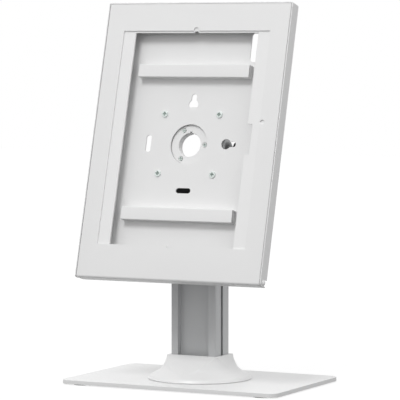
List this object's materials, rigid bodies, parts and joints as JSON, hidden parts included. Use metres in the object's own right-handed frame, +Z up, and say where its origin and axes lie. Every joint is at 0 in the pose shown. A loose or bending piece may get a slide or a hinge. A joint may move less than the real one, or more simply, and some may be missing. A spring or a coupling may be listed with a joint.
{
  "type": "tablet security kiosk stand",
  "caption": "Desktop stand: a lockable steel tablet enclosure that tilts and turns on an aluminium column with a flat steel base.",
  "frame": {"origin": "centre of the base's footprint, on the surface that the feet stand on", "axes": "+Z up, the screen side faces -Y, +X to the right of someone who faces the screen"},
  "size_m": [0.295, 0.187, 0.4711],
  "materials": {
    "white_steel": "white powder coat",
    "skirt_plastic": "moulded satin",
    "white_plastic": "extruded matt",
    "black_nylon": "moulded matt",
    "natural_nylon": "turned",
    "foot_rubber": "moulded",
    "column_aluminium": "satin anodised",
    "zinc_steel": "bright zinc",
    "zinc_screws": "bright zinc",
    "chrome_lock": "nickel chrome"
  },
  "bodies": {
    "base": {"base_plate": "white_steel", "rubber_feet": "foot_rubber", "column_profile": "column_aluminium", "column_skirt": "skirt_plastic", "column_base_screws": "zinc_screws", "tilt_head": "black_nylon", "tilt_head_screws": "zinc_screws", "pivot_bolts": "zinc_screws", "pivot_washers": "zinc_screws"},
    "bracket": {"tilt_bracket": "zinc_steel", "nylon_washers": "natural_nylon", "hub_ring": "white_steel", "hub_screws": "zinc_screws", "friction_rings": "natural_nylon", "turn_stop_pin": "zinc_screws"},
    "left_knob_body": {"left_knob": "black_nylon"},
    "clamp_lever_body": {"clamp_lever": "black_nylon"},
    "enclosure": {"vesa_plate": "white_steel", "vesa_screws": "zinc_screws", "vesa_nuts": "zinc_screws", "back_tray": "white_steel", "cover_hinge_rivets": "zinc_screws", "upper_bar": "white_steel", "lower_bar": "white_steel", "bar_posts": "zinc_steel", "bar_screws": "zinc_screws", "lock_body": "chrome_lock", "lock_nut": "zinc_screws"},
    "cover": {"front_cover": "white_steel", "left_strip": "white_plastic", "right_strip": "white_plastic"},
    "lock": {"lock_plug": "chrome_lock", "lock_cam": "zinc_steel", "cam_screw": "zinc_screws"}
  },
  "joints": [
    {"name": "tilt", "type": "hinge", "parent": "base", "child": "bracket", "pos_m": [0, 0.008, 0.263], "axis": [-1, 0, 0], "range_deg": [-15, 45]},
    {"name": "left_knob_turn", "type": "hinge", "parent": "base", "child": "left_knob_body", "pos_m": [0, 0.008, 0.263], "axis": [-1, 0, 0], "continuous": true},
    {"name": "clamp_lever_turn", "type": "hinge", "parent": "base", "child": "clamp_lever_body", "pos_m": [0, 0.008, 0.263], "axis": [1, 0, 0], "continuous": true},
    {"name": "turn", "type": "hinge", "parent": "bracket", "child": "enclosure", "pos_m": [0, -0.04622, 0.30175], "axis": [0, -0.9659, 0.2588], "range_deg": [0, 90]},
    {"name": "cover_hinge", "type": "hinge", "parent": "enclosure", "child": "cover", "pos_m": [0, -0.08269, 0.13667], "axis": [1, 0, 0], "range_deg": [0, 110]},
    {"name": "lock_turn", "type": "hinge", "parent": "enclosure", "child": "lock", "pos_m": [0.04, -0.00649, 0.45002], "axis": [0, -0.9659, 0.2588], "range_deg": [-90, 0]}
  ]
}
